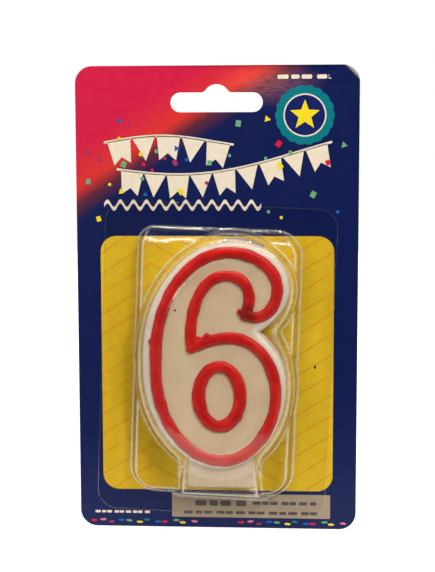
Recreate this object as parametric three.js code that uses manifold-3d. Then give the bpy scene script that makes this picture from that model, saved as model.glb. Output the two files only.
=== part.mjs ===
// A number birthday candle, a wax numeral 6 with red piped lines, sealed in a carded blister pack.
//
// Millimetres, +Z up. The card's printed side faces -Y, and +X is to the right as that side is read.
// The origin is where a shop peg bears: the top of the hang slot, on the card's printed face.
// Everything is drawn on that face, in a frame of its own: x to the right, y up, and z out of the
// face. One turned group at the end stands it upright.

import * as THREE from "three";
import { mergeVertices } from "three/addons/utils/BufferGeometryUtils.js";
import Module from "manifold-3d";

// ---- Driving dimensions ------------------------------------------------------------------------

const card = { width: 98.5, height: 163.5, thickness: 0.6, corner: 6, aboveSlot: 6.4 };
const slot = { width: 32, height: 6.8, dome: 4.7, rise: 2.8, fillet: 2 };

// The blister is sealed to the card a little askew. Its flange, platform and pocket are measured from a
// point on the card's middle line, in a frame turned by the tilt. Its bubble follows the numeral.
const sheet = 0.3; // the blister's plastic
const seal = { height: -96, tilt: THREE.MathUtils.degToRad(-2.3) };
const flange = { left: -41.1, right: 40.3, bottom: -56, top: 54.4, corner: 7 };
const platform = {
  left: -29.2,
  right: 28.3,
  bottom: -48.2,
  top: 46,
  corners: [9, 9, 9, 6], // lower left, lower right, upper right, upper left
  depth: 6.6,
  draft: 2,
};
const pocket = {
  top: -26,
  middleTop: 2.4,
  halfTop: 14.5,
  bottom: -49.8,
  middleBottom: 3.5,
  halfBottom: 17,
  depth: 10.4,
  draft: 3.2,
};
const bubble = { grow: 3.5, notchGrow: 8, depth: 13, draft: 1.5 };

// The numeral, from the middle of its lowest edge. Each pair is an extreme of its outline.
const numeral = {
  base: -133.4,
  standOff: 0.5,
  thickness: 10,
  edge: 1.6,
  foot: [1.8, 0],
  bowl: [24.5, 29],
  notch: [14.9, 48.3],
  hook: [25.4, 63.1],
  crown: [5.4, 79.4],
  back: [-25.4, 39.5],
  backStraight: 5,
};
const stem = { middle: 1.5, halfTop: 10.9, halfBottom: 12, bottom: -7, insideBowl: 8, thickness: 8 };

const bead = { width: 3.5, height: 1.3, tipRadius: 2.1 };
const counter = { middle: [1.4, 26], halfWidth: 7.2, halfHeight: 10.5, bead: 3.9 };

// The wick stands in a bore at the top, and its free end is folded down along the numeral's shoulder.
const wick = { across: 2, radius: 0.55, bore: 0.85, boreDepth: 9, dish: 1.8, dishSunk: 1.2 };
const fold = {
  drop: 0.4, // the pivot's depth below the wax around it
  start: -0.1, // the free end's first section, from the pivot
  neck: [0.4, 0.6], // the first points of the bend, from the pivot
  knee: [1.4, 1.6],
  lying: 0.7, // its middle line's height over the wax
  endsAt: 57, // degrees around the crown's quarter, from the hook's side
  spacing: 11,
};

// ---- Fineness ----------------------------------------------------------------------------------

const CURVE_STEPS = 10; // chords in each curve of an outline
const ROUND_STEPS = 3; // slopes in a round edge
const BEAD_SIDES = 12;
const BEAD_STEP = 3.5; // length of bead between two sections
const WICK_SIDES = 8;
const WICK_STEPS = 14;
const ROUND = 0.5523; // share of a quarter ellipse's radius that its handle covers
const FLAT_ROUND = 0.52; // the same on the wax bowl's lower quarters, which are a little straighter
// The handles of the two curves that meet in the notch, as shares of each curve's width and height.
const NOTCH = { offBowl: 0.5, intoNotch: [0.5, 0.25], offNotch: [0.4, 0.15], intoHook: 0.45 };
const MERGE = 1e-4; // vertices closer than this are one
const BEYOND = 400; // the side of a block that cuts off all of one side

// ---- Solids ------------------------------------------------------------------------------------

const wasm = await Module();
wasm.setup();

function solidOf(geometry) {
  const bare = geometry.clone();
  bare.deleteAttribute("normal");
  bare.deleteAttribute("uv");
  const merged = mergeVertices(bare, MERGE);
  return new wasm.Manifold(
    new wasm.Mesh({
      numProp: 3,
      vertProperties: merged.attributes.position.array,
      triVerts: new Uint32Array(merged.index.array),
    }),
  );
}

function geometryOf(solid) {
  const mesh = solid.getMesh();
  const geometry = new THREE.BufferGeometry();
  geometry.setAttribute("position", new THREE.BufferAttribute(mesh.vertProperties, 3));
  geometry.setIndex(new THREE.BufferAttribute(mesh.triVerts, 1));
  geometry.computeVertexNormals();
  return geometry;
}

function joined(solids) {
  return solids.reduce((all, one) => all.add(one));
}

// The solid without what lies behind the given height over the card's face.
function cutBehind(solid, height) {
  const block = new THREE.BoxGeometry(BEYOND, BEYOND, BEYOND);
  block.translate(0, 0, height - BEYOND / 2);
  return solid.subtract(solidOf(block));
}

// A plain slab of the outline, between two heights.
function slab(shape, from, to, place = new THREE.Matrix4()) {
  const geometry = new THREE.ExtrudeGeometry(shape, {
    depth: to - from,
    bevelEnabled: false,
    curveSegments: CURVE_STEPS,
  });
  geometry.translate(0, 0, from);
  geometry.applyMatrix4(place);
  return solidOf(geometry);
}

// A slab up to the given height, taken in by `inset` over the last `drop` of it. One step makes a
// slope, and more make a round edge. It also reaches behind height 0, where it is cut off later.
function taperedSlab(shape, height, drop, inset, steps, place) {
  const geometry = new THREE.ExtrudeGeometry(shape, {
    depth: height,
    bevelThickness: drop,
    bevelSize: inset,
    bevelOffset: -inset,
    bevelSegments: steps,
    curveSegments: CURVE_STEPS,
  });
  geometry.translate(0, 0, -drop);
  geometry.applyMatrix4(place);
  return solidOf(geometry);
}

// A slab with sides that slope all the way up.
function slopedSlab(shape, height, inset, place) {
  return taperedSlab(shape, height, height, inset, 1, place);
}

// A slab with a round front edge.
function roundedSlab(shape, height, radius) {
  return taperedSlab(shape, height, radius, radius, ROUND_STEPS, new THREE.Matrix4());
}

// ---- Outlines ----------------------------------------------------------------------------------

// A rectangle with round corners, whose radii run lower left, lower right, upper right, upper left.
function roundedRectangle(left, right, bottom, top, radii) {
  const [lowerLeft, lowerRight, upperRight, upperLeft] = radii;
  const quarter = Math.PI / 2;
  const shape = new THREE.Shape();
  shape.absarc(left + lowerLeft, bottom + lowerLeft, lowerLeft, 2 * quarter, 3 * quarter);
  shape.absarc(right - lowerRight, bottom + lowerRight, lowerRight, 3 * quarter, 4 * quarter);
  shape.absarc(right - upperRight, top - upperRight, upperRight, 0, quarter);
  shape.absarc(left + upperLeft, top - upperLeft, upperLeft, quarter, 2 * quarter);
  shape.closePath();
  return shape;
}

// A quarter ellipse from the path's present point. It sets off along x, or else along y.
function quarterTo(path, [x, y], alongX, fullness = ROUND) {
  const from = path.currentPoint;
  const dx = (x - from.x) * fullness;
  const dy = (y - from.y) * fullness;
  if (alongX) path.bezierCurveTo(from.x + dx, from.y, x, y - dy, x, y);
  else path.bezierCurveTo(from.x, from.y + dy, x - dx, y, x, y);
}

// The numeral's outline, in its own frame, with every extreme moved out by `grow`. The bowl's notch
// moves out by `notchGrow`, so that a cover can bridge it.
function numeralOutline(grow = 0, notchGrow = 0, bowlFullness = FLAT_ROUND) {
  const foot = [numeral.foot[0], numeral.foot[1] - grow];
  const bowl = [numeral.bowl[0] + grow, numeral.bowl[1]];
  const notch = [numeral.notch[0] + notchGrow, numeral.notch[1]];
  const hook = [numeral.hook[0] + grow, numeral.hook[1]];
  const crown = [numeral.crown[0], numeral.crown[1] + grow];
  const back = [numeral.back[0] - grow, numeral.back[1]];
  const shape = new THREE.Shape();
  shape.moveTo(...foot);
  quarterTo(shape, bowl, true, bowlFullness);
  const shoulder = [bowl[0] - notch[0], notch[1] - bowl[1]];
  shape.bezierCurveTo(
    bowl[0],
    bowl[1] + shoulder[1] * NOTCH.offBowl,
    notch[0] + shoulder[0] * NOTCH.intoNotch[0],
    notch[1] - shoulder[1] * NOTCH.intoNotch[1],
    ...notch,
  );
  const overhang = [hook[0] - notch[0], hook[1] - notch[1]];
  shape.bezierCurveTo(
    notch[0] + overhang[0] * NOTCH.offNotch[0],
    notch[1] + overhang[1] * NOTCH.offNotch[1],
    hook[0],
    hook[1] - overhang[1] * NOTCH.intoHook,
    ...hook,
  );
  quarterTo(shape, crown, false);
  quarterTo(shape, back, true);
  shape.lineTo(back[0], back[1] - numeral.backStraight);
  quarterTo(shape, foot, false, bowlFullness);
  return shape;
}

// The hang slot: a long hole with round ends, and a dome in the middle of its upper edge that settles
// the card on a peg. The origin is the top of the dome.
function slotOutline() {
  const half = slot.height / 2;
  const endX = slot.width / 2 - half;
  const middleY = -slot.rise - half;
  const filletY = slot.fillet - slot.rise;
  // A fillet's centre, seen from the dome's, is `centres` away, and the line to it rises by `slope`.
  const centres = slot.dome + slot.fillet;
  const filletX = Math.sqrt(centres ** 2 - (slot.dome + filletY) ** 2);
  const slope = Math.atan2(slot.dome + filletY, filletX);
  const path = new THREE.Path();
  path.absarc(endX, middleY, half, -Math.PI / 2, Math.PI / 2);
  path.absarc(filletX, filletY, slot.fillet, -Math.PI / 2, slope - Math.PI, true);
  path.absarc(0, -slot.dome, slot.dome, slope, Math.PI - slope);
  path.absarc(-filletX, filletY, slot.fillet, -slope, -Math.PI / 2, true);
  path.absarc(-endX, middleY, half, Math.PI / 2, (3 * Math.PI) / 2);
  path.closePath();
  return path;
}

// ---- Card --------------------------------------------------------------------------------------

function backingCard() {
  const top = card.aboveSlot;
  const half = card.width / 2;
  const shape = roundedRectangle(-half, half, top - card.height, top, Array(4).fill(card.corner));
  shape.holes.push(slotOutline());
  return slab(shape, -card.thickness, 0);
}

// ---- Blister -----------------------------------------------------------------------------------

const askew = new THREE.Matrix4().makeRotationZ(seal.tilt).setPosition(0, seal.height, 0);
const onNumeral = new THREE.Matrix4().makeTranslation(0, numeral.base, 0);

// The pocket round the candle's foot, wider towards its end.
function pocketOutline(inset) {
  const halfTop = pocket.halfTop - inset;
  const halfBottom = pocket.halfBottom - inset;
  const shape = new THREE.Shape();
  shape.moveTo(pocket.middleBottom - halfBottom, pocket.bottom + inset);
  shape.lineTo(pocket.middleBottom + halfBottom, pocket.bottom + inset);
  shape.lineTo(pocket.middleTop + halfTop, pocket.top);
  shape.lineTo(pocket.middleTop - halfTop, pocket.top);
  shape.closePath();
  return shape;
}

// What is raised over the card, taken in by `inset` all over. The blister's outside has no inset, and
// its inside is in by the thickness of the sheet.
function raised(inset) {
  const low = roundedRectangle(
    platform.left + inset,
    platform.right - inset,
    platform.bottom + inset,
    platform.top - inset,
    platform.corners.map((radius) => radius - inset),
  );
  const tall = numeralOutline(bubble.grow - inset, bubble.notchGrow - inset, ROUND);
  return joined([
    slopedSlab(low, platform.depth - inset, platform.draft, askew),
    slopedSlab(pocketOutline(inset), pocket.depth - inset, pocket.draft, askew),
    slopedSlab(tall, bubble.depth - inset, bubble.draft, onNumeral),
  ]);
}

function blister() {
  const corners = Array(4).fill(flange.corner);
  const rim = roundedRectangle(flange.left, flange.right, flange.bottom, flange.top, corners);
  const outside = cutBehind(raised(0), 0).add(slab(rim, 0, sheet, askew));
  return outside.subtract(raised(sheet));
}

// ---- Candle, in the numeral's frame, with its flat back at height 0 ------------------------------

// How far up the wax reaches over a place on the crown's left quarter.
function crownAbove(x) {
  const [crownX, crownY] = numeral.crown;
  const across = (x - crownX) / (numeral.back[0] - crownX);
  return numeral.back[1] + (crownY - numeral.back[1]) * Math.sqrt(1 - across ** 2);
}

const wickRim = crownAbove(wick.across);
const wickPivot = wickRim - fold.drop;

function stemOutline() {
  const shape = new THREE.Shape();
  shape.moveTo(stem.middle - stem.halfBottom, stem.bottom);
  shape.lineTo(stem.middle + stem.halfBottom, stem.bottom);
  shape.lineTo(stem.middle + stem.halfTop, stem.insideBowl);
  shape.lineTo(stem.middle - stem.halfTop, stem.insideBowl);
  shape.closePath();
  return shape;
}

// The narrow hole that the wick fills, and the shallow dish at its mouth where the wick bends.
function wickHole() {
  const bore = new THREE.CylinderGeometry(wick.bore, wick.bore, wick.boreDepth, 2 * WICK_SIDES);
  bore.translate(wick.across, wickRim - wick.boreDepth / 2, numeral.thickness / 2);
  const dish = new THREE.SphereGeometry(wick.dish, 2 * WICK_SIDES, WICK_SIDES);
  dish.translate(wick.across, wickRim + wick.dish - wick.dishSunk, numeral.thickness / 2);
  return solidOf(bore).add(solidOf(dish));
}

function candleBody() {
  const digit = cutBehind(roundedSlab(numeralOutline(), numeral.thickness, numeral.edge), 0);
  const foot = slab(stemOutline(), 0, stem.thickness);
  return joined([digit, foot]).subtract(wickHole());
}

// ---- Piped lines, lying on the numeral's front at height 0 ---------------------------------------

// A half-round line of wax along an open path.
function pipedLine(path) {
  const section = new THREE.Shape();
  section.absellipse(0, 0, bead.height, bead.width / 2, 0, 2 * Math.PI);
  const steps = Math.ceil(path.getLength() / BEAD_STEP);
  const points = path.getSpacedPoints(steps).map((point) => new THREE.Vector3(point.x, point.y, 0));
  const geometry = new THREE.ExtrudeGeometry(section, {
    steps,
    curveSegments: BEAD_SIDES,
    extrudePath: new THREE.CatmullRomCurve3(points),
  });
  return solidOf(geometry);
}

// A round lump of wax where a line starts or turns sharply.
function dab([x, y], radius) {
  const geometry = new THREE.SphereGeometry(radius, BEAD_SIDES, BEAD_SIDES / 2);
  geometry.scale(1, 1, bead.height / radius);
  geometry.translate(x, y, 0);
  return solidOf(geometry);
}

// The line runs inside the numeral's edge, then doubles back inside the hook: two strands, which meet
// in a corner over the bowl and in a lump at the tip of the hook.
function outlineBead() {
  const tip = [10.2, 54.8];
  const corner = [-8.3, 42.8];
  const outer = new THREE.Path();
  outer.moveTo(...tip);
  outer.bezierCurveTo(15, 51.6, 21.2, 55.6, 21.3, 63.4);
  quarterTo(outer, [4.6, 76.2], false);
  quarterTo(outer, [-21, 40], true);
  outer.lineTo(-21, 34.5);
  quarterTo(outer, [2.3, 3.3], false);
  quarterTo(outer, [20.9, 26.5], true, FLAT_ROUND);
  outer.bezierCurveTo(20.9, 38.2, 13.6, 46.5, 5, 46.5);
  outer.bezierCurveTo(0.5, 46.5, -4, 45.2, ...corner);
  const inner = new THREE.Path();
  inner.moveTo(...corner);
  inner.bezierCurveTo(-9.4, 53, -6.2, 68, 3.8, 68);
  inner.bezierCurveTo(11.2, 68, 13.6, 61, ...tip);
  const lumps = [dab(tip, bead.tipRadius), dab(corner, bead.width / 2)];
  return cutBehind(joined([pipedLine(outer), pipedLine(inner), ...lumps]), 0);
}

// The closed ring of wax inside the bowl.
function counterBead() {
  const [x, y] = counter.middle;
  const half = counter.bead / 2;
  const ring = new THREE.Shape();
  ring.absellipse(x, y, counter.halfWidth + half, counter.halfHeight + half, 0, 2 * Math.PI);
  const hole = new THREE.Path();
  hole.absellipse(x, y, counter.halfWidth - half, counter.halfHeight - half, 0, 2 * Math.PI);
  ring.holes.push(hole);
  return cutBehind(roundedSlab(ring, bead.height, bead.height), 0);
}

// ---- Wick ----------------------------------------------------------------------------------------

function wickTube(points) {
  const section = new THREE.Shape();
  section.absarc(0, 0, wick.radius, 0, 2 * Math.PI);
  const path = new THREE.CatmullRomCurve3(points.map(([x, y]) => new THREE.Vector3(x, y, 0)));
  return solidOf(
    new THREE.ExtrudeGeometry(section, {
      steps: WICK_STEPS,
      curveSegments: WICK_SIDES,
      extrudePath: path,
    }),
  );
}

// The length that fills the bore, up to just under the bend.
function wickCore() {
  const top = wickPivot - wick.radius;
  const bottom = wickRim - wick.boreDepth + wick.bore;
  return wickTube([
    [wick.across, bottom],
    [wick.across, (top + bottom) / 2],
    [wick.across, top],
  ]);
}

// The free end. It leaves the dish, bends over, and lies along the crown's right shoulder.
function wickTip() {
  const [crownX, crownY] = numeral.crown;
  const [hookX, hookY] = numeral.hook;
  const points = [
    [wick.across, wickPivot + fold.start],
    [wick.across + fold.neck[0], wickPivot + fold.neck[1]],
    [wick.across + fold.knee[0], wickPivot + fold.knee[1]],
  ];
  for (let degrees = 90; degrees >= fold.endsAt; degrees -= fold.spacing) {
    const turn = THREE.MathUtils.degToRad(degrees);
    const x = crownX + (hookX - crownX + fold.lying) * Math.cos(turn);
    const y = hookY + (crownY - hookY + fold.lying) * Math.sin(turn);
    points.push([x, y]);
  }
  return wickTube(points);
}

// ---- Assembly ------------------------------------------------------------------------------------

function part(name, solid, [color, roughness, extras = {}]) {
  const material = new THREE.MeshStandardMaterial({ color, roughness, metalness: 0, ...extras });
  const mesh = new THREE.Mesh(geometryOf(solid), material);
  mesh.name = name;
  return mesh;
}

const PRINTED_BOARD = [0x1a2456, 0.45];
const CLEAR_SHEET = [0xf2f4f5, 0.08, { transparent: true, opacity: 0.3 }];
const WHITE_WAX = [0xe6dccb, 0.4];
const RED_WAX = [0xc42a24, 0.35];
const COTTON = [0xb9b0ac, 0.8];

const wickGroup = new THREE.Group();
wickGroup.position.z = numeral.thickness / 2;
wickGroup.add(part("wick_core", wickCore(), COTTON), part("wick_tip", wickTip(), COTTON));

const pipedGroup = new THREE.Group();
pipedGroup.position.z = numeral.thickness;
pipedGroup.add(
  part("outline_bead", outlineBead(), RED_WAX),
  part("counter_bead", counterBead(), RED_WAX),
);

const candleGroup = new THREE.Group();
candleGroup.position.set(0, numeral.base, numeral.standOff);
candleGroup.add(part("candle_body", candleBody(), WHITE_WAX), pipedGroup, wickGroup);

const face = new THREE.Group();
face.rotation.x = Math.PI / 2;
face.add(
  part("backing_card", backingCard(), PRINTED_BOARD),
  part("blister", blister(), CLEAR_SHEET),
  candleGroup,
);

const pack = new THREE.Group();
pack.add(face);

export default pack;
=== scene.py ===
"""A number birthday candle in its carded blister pack: the looks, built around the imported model.

Shapes are drawn in millimetres on the card's printed face: x to the right, y up, and h out of the
face. The CAD frame is the same one stood upright, with its origin at the top of the hang slot.
"""
import math
import random

import bpy
import numpy as np
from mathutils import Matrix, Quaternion, Vector, geometry


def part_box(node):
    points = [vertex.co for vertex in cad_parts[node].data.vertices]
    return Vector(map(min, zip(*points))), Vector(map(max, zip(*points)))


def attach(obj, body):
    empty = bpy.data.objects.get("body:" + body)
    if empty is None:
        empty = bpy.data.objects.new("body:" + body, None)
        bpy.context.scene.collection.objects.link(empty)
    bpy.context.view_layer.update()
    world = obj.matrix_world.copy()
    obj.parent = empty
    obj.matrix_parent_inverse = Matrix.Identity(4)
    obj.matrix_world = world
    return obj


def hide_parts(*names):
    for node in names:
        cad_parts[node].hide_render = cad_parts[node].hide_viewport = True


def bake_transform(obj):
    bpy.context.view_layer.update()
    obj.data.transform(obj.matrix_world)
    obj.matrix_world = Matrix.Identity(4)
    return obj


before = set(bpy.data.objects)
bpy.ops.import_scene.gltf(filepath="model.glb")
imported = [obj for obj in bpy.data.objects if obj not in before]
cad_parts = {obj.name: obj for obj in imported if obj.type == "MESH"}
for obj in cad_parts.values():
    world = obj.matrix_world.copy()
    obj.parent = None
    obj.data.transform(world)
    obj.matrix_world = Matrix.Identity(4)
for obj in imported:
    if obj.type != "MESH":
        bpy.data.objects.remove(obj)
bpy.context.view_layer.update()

MM = 0.001  # in metres

# ---- Measures ----


def face_box(node):
    """A CAD node's box on the card's face, in mm: left, right, bottom, top, back, front."""
    low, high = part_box(node)
    return [v / MM for v in (low.x, high.x, low.z, high.z, -high.y, -low.y)]


CARD_LEFT, CARD_RIGHT, CARD_BOTTOM, CARD_TOP, CARD_BACK, _ = face_box("backing_card")
CARD_CORNER = 6
CANDLE_LEFT, _, CANDLE_BOTTOM, CANDLE_TOP, CANDLE_BACK, CANDLE_FRONT = face_box("candle_body")

STEM_BELOW = 7  # how far the candle's foot reaches below the numeral
BASE = CANDLE_BOTTOM + STEM_BELOW  # the numeral's lowest point
WAX = CANDLE_FRONT - CANDLE_BACK  # the numeral's thickness

# The numeral's extremes: x on the card's face, and y from the numeral's lowest point.
LOWEST = (1.8, 0)
BOWL = (24.5, 29)
NOTCH = (14.9, 48.3)
HOOK = (25.4, 63.1)
CROWN = (5.4, CANDLE_TOP - BASE)
BACK = (CANDLE_LEFT, 39.5)
BACK_STRAIGHT = 5  # the straight stretch below the back

# The cover is sealed on a little askew: its flange, platform and pocket share a turned frame.
SEAL_HEIGHT = -96
SEAL_TILT = math.radians(-2.3)
FLANGE = dict(left=-41.1, right=40.3, bottom=-56, top=54.4, corners=[7] * 4)
PLATFORM = dict(left=-29.2, right=28.3, bottom=-48.2, top=46, corners=[9, 9, 9, 6], depth=6.6)
# How steep the walls are, in mm up for each mm in.
PLATFORM_SLOPE = 3.3
PLATFORM_TOP_SLOPE = 1.8
POCKET_SLOPE = 3.25
BUBBLE_SLOPE = 8.5
BUBBLE_UPPER_SLOPE = 1.9
FOOT_SLOPE = 0.8
SHOULDER_SLOPE = 0.28
POCKET_TOP = dict(y=-26, middle=2.4, half=14.5)
POCKET_BOTTOM = dict(y=-49.8, middle=3.5, half=17)
POCKET_DEPTH = 10.4
BUBBLE_GROW = 3.5  # how far the bubble's outline lies outside the numeral's
BUBBLE_NOTCH_GROW = 8
BUBBLE_DEPTH = face_box("blister")[5]
SHEET = 0.22  # thickness of the clear sheet
SHEET_TOP = 0.3  # height of the flange's upper face over the card

INK = 0.03  # thickness of a printed patch
ROUND = 0.5523  # share of a quarter ellipse's radius that its handle covers
FULL = 0.52  # the same on the bowl's lower quarters, which are a little flatter


# ---- Outlines ----


class Path:
    """Points along a line of straights and curves."""

    def __init__(self, start):
        self.points = [np.array(start, float)]

    def line(self, end):
        self.points.append(np.array(end, float))
        return self

    def curve(self, handle, other, end, steps=24):
        a, b, c, d = self.points[-1], np.array(handle), np.array(other), np.array(end, float)
        for t in np.linspace(0, 1, steps + 1)[1:]:
            s = 1 - t
            self.points.append(s**3 * a + 3 * s * s * t * b + 3 * s * t * t * c + t**3 * d)
        return self

    def quarter(self, end, along_x, fullness=ROUND):
        """A quarter ellipse that sets off along x, or else along y."""
        start = self.points[-1]
        reach = (np.array(end) - start) * fullness
        if along_x:
            return self.curve((start[0] + reach[0], start[1]), (end[0], end[1] - reach[1]), end)
        return self.curve((start[0], start[1] + reach[1]), (end[0] - reach[0], end[1]), end)

    def array(self):
        return np.array(self.points)


def numeral_outline(grow=0, notch_grow=0, fullness=FULL):
    """The numeral on the card's face, its extremes moved out by `grow` and its notch by `notch_grow`.

    Between the bowl, the notch and the hook, the curves' handles are shares of the step between them.
    """
    lowest = (LOWEST[0], LOWEST[1] - grow)
    bowl = (BOWL[0] + grow, BOWL[1])
    notch = (NOTCH[0] + notch_grow, NOTCH[1])
    hook = (HOOK[0] + grow, HOOK[1])
    rise, reach = notch[1] - bowl[1], bowl[0] - notch[0]
    lift, overhang = hook[1] - notch[1], hook[0] - notch[0]
    path = Path(lowest).quarter(bowl, True, fullness)
    path.curve((bowl[0], bowl[1] + rise / 2), (notch[0] + reach / 2, notch[1] - rise / 4), notch)
    path.curve((notch[0] + overhang * 0.4, notch[1] + lift * 0.15), (hook[0], hook[1] - lift * 0.45), hook)
    path.quarter((CROWN[0], CROWN[1] + grow), False)
    path.quarter((BACK[0] - grow, BACK[1]), True)
    path.line((BACK[0] - grow, BACK[1] - BACK_STRAIGHT)).quarter(lowest, False, fullness)
    return path.array()[:-1] + (0, BASE)


def round_polygon(corners, radii, steps=8):
    """A closed outline through anticlockwise corners, each rounded by its radius."""
    corners = [np.array(c, float) for c in corners]
    points = []
    for i, (corner, radius) in enumerate(zip(corners, radii)):
        before = corners[i - 1] - corner
        after = corners[(i + 1) % len(corners)] - corner
        before /= np.linalg.norm(before)
        after /= np.linalg.norm(after)
        half = math.acos(np.clip(before @ after, -1, 1)) / 2
        run = radius / math.tan(half)
        centre = corner + (before + after) / np.linalg.norm(before + after) * radius / math.sin(half)
        start, end = corner + before * run - centre, corner + after * run - centre
        turn = math.atan2(start[0] * end[1] - start[1] * end[0], start @ end)
        for t in np.linspace(0, turn, steps + 1):
            cos, sin = math.cos(t), math.sin(t)
            points.append(centre + (cos * start[0] - sin * start[1], sin * start[0] + cos * start[1]))
    return np.array(points)


def round_box(left, right, bottom, top, radii, steps=8):
    corners = [(left, bottom), (right, bottom), (right, top), (left, top)]
    return round_polygon(corners, radii, steps)


def ellipse(x, y, across, high, steps=24, turn=0.0):
    angles = np.arange(steps) * 2 * math.pi / steps
    flat = np.stack([across * np.cos(angles), high * np.sin(angles)], 1)
    return rotated(flat, turn) + (x, y)


def rotated(points, turn):
    cos, sin = math.cos(turn), math.sin(turn)
    return points @ np.array([[cos, sin], [-sin, cos]])


def askew(points):
    """From the sealed cover's own frame to the card's face."""
    return rotated(np.asarray(points, float), SEAL_TILT) + (0, SEAL_HEIGHT)


def resampled(line, step, closed=False):
    """The line again, with points evenly about `step` apart, and how far along it each one is."""
    if closed:
        line = np.vstack([line, line[:1]])
    lengths = np.linalg.norm(np.diff(line, axis=0), axis=1)
    along = np.concatenate([[0], np.cumsum(lengths)])
    places = np.linspace(0, along[-1], max(8, round(along[-1] / step)), endpoint=not closed)
    return np.stack([np.interp(places, along, column) for column in line.T], 1), places


def stepped(outline, step):
    return resampled(outline, step, closed=True)[0]


def sideways(line):
    """The direction to the right of the line, at each of its points."""
    ahead = np.gradient(line, axis=0)
    ahead /= np.linalg.norm(ahead, axis=1)[:, None]
    return np.stack([ahead[:, 1], -ahead[:, 0]], 1)


def inside_distance(points, outline):
    """How far each point is inside a closed outline, and below zero outside it."""
    start = outline
    edge = np.roll(outline, -1, 0) - start
    squared = (edge**2).sum(1)
    start, edge, squared = start[squared > 1e-12], edge[squared > 1e-12], squared[squared > 1e-12]
    result = np.empty(len(points))
    for first in range(0, len(points), 2000):
        part = points[first:first + 2000, None]
        away = part - start
        share = np.clip((away * edge).sum(2) / squared, 0, 1)
        distance = np.sqrt(((away - share[..., None] * edge) ** 2).sum(2).min(1))
        above = start[:, 1] > part[..., 1]
        end_above = (start + edge)[:, 1] > part[..., 1]
        with np.errstate(divide="ignore", invalid="ignore"):
            crossing = start[:, 0] + (part[..., 1] - start[:, 1]) * edge[:, 0] / edge[:, 1]
        crossed = (above != end_above) & (part[..., 0] < crossing)
        inside = crossed.sum(1) % 2 == 1
        result[first:first + 2000] = np.where(inside, distance, -distance)
    return result


def rings(outline, depths, step):
    """Points along copies of the outline, each moved in by its depth, or out if that is below zero."""
    even = stepped(outline, step)
    along = np.roll(even, -1, 0) - np.roll(even, 1, 0)
    inward = np.stack([-along[:, 1], along[:, 0]], 1) / np.linalg.norm(along, axis=1)[:, None]
    found = []
    for depth in depths:
        moved = even + inward * depth
        keep = np.abs(inside_distance(moved, outline) - depth) < 0.1
        found.append(moved[keep])
    return np.vstack(found)


def grid(outline, step):
    low, high = outline.min(0), outline.max(0)
    xs = np.arange(low[0] + step / 2, high[0], step)
    ys = np.arange(low[1] + step / 2, high[1], step)
    return np.array([(x, y) for x in xs for y in ys])


def thinned(points, gap):
    """The points without those closer than `gap` to an earlier one."""
    kept, cells = [], {}
    for point in points:
        cell = (int(point[0] // gap), int(point[1] // gap))
        near = [q for i in (-1, 0, 1) for j in (-1, 0, 1) for q in cells.get((cell[0] + i, cell[1] + j), [])]
        if all((point[0] - q[0]) ** 2 + (point[1] - q[1]) ** 2 > gap * gap for q in near):
            kept.append(point)
            cells.setdefault(cell, []).append(point)
    return np.array(kept)


def soft_max(a, b, blend):
    share = np.clip(0.5 + 0.5 * (a - b) / blend, 0, 1)
    return b + (a - b) * share + blend * share * (1 - share)


def soft_min(a, b, blend):
    return -soft_max(-a, -b, blend)


def wobble(points, size, seed):
    """A smooth, uneven value of about -1 to 1 over the points, with bumps about `size` wide."""
    rng = random.Random(seed)
    total = np.zeros(len(points))
    waves = 7
    for _ in range(waves):
        turn = rng.uniform(0, 2 * math.pi)
        wave = 2 * math.pi / (size * rng.uniform(0.7, 1.6))
        phase = rng.uniform(0, 2 * math.pi)
        total += np.sin((points[:, 0] * math.cos(turn) + points[:, 1] * math.sin(turn)) * wave + phase)
    return total / math.sqrt(waves)


# ---- Meshes ----


def upright(points):
    """From the card's face, in mm, to the CAD frame, in metres."""
    points = np.asarray(points, float)
    return np.stack([points[:, 0], -points[:, 2], points[:, 1]], 1) * MM


def make_object(name, points, faces, materials):
    mesh = bpy.data.meshes.new(name)
    mesh.from_pydata(upright(points).tolist(), [], [list(f) for f in faces])
    mesh.update()
    for material in materials:
        mesh.materials.append(material)
    made = bpy.data.objects.new(name, mesh)
    bpy.context.scene.collection.objects.link(made)
    return made


def shade(obj, sharp_over=40):
    obj.data.shade_smooth()
    obj.data.set_sharp_from_angle(angle=math.radians(sharp_over))


def settle(obj):
    """Applies the object's modifiers to its mesh."""
    graph = bpy.context.evaluated_depsgraph_get()
    mesh = bpy.data.meshes.new_from_object(obj.evaluated_get(graph))
    obj.modifiers.clear()
    obj.data = mesh


def belongs(obj, body, slot, *nodes):
    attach(obj, body)
    if nodes:
        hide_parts(*nodes)


def store(obj, name, values):
    """Keeps a value on each point of the mesh, for its material to read."""
    layer = obj.data.attributes.new(name, "FLOAT", "POINT")
    layer.data.foreach_set("value", np.asarray(values, np.float32))


def joined(bodies):
    """The points and faces of several bodies, as those of one."""
    points, faces = [], []
    for some_points, some_faces in bodies:
        faces += [[len(points) + v for v in face] for face in some_faces]
        points += [tuple(p) for p in some_points]
    return points, faces


def triangulated(outlines, inner):
    """Triangles that fill the outlines' union, with the inner points as corners too."""
    corners, loops = [], []
    for outline in outlines:
        loops.append(list(range(len(corners), len(corners) + len(outline))))
        corners += [Vector(p) for p in outline]
    corners += [Vector(p) for p in inner]
    found = geometry.delaunay_2d_cdt(corners, [], loops, 1, 1e-4)
    return np.array(found[0]), [tuple(face) for face in found[2]]


def slab(flat, faces, front, back):
    """A closed body from two sheets over one triangulation, with sides along its edge."""
    count = len(flat)
    points = np.vstack([front, back])
    sides = {}
    for face in faces:
        for i, a in enumerate(face):
            sides[(a, face[(i + 1) % len(face)])] = True
    edge = [(a, b) for a, b in sides if (b, a) not in sides]
    closed = list(faces)
    closed += [tuple(count + v for v in reversed(face)) for face in faces]
    closed += [(b, a, count + a, count + b) for a, b in edge]
    return points, closed


# ---- Node helpers ----


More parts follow.
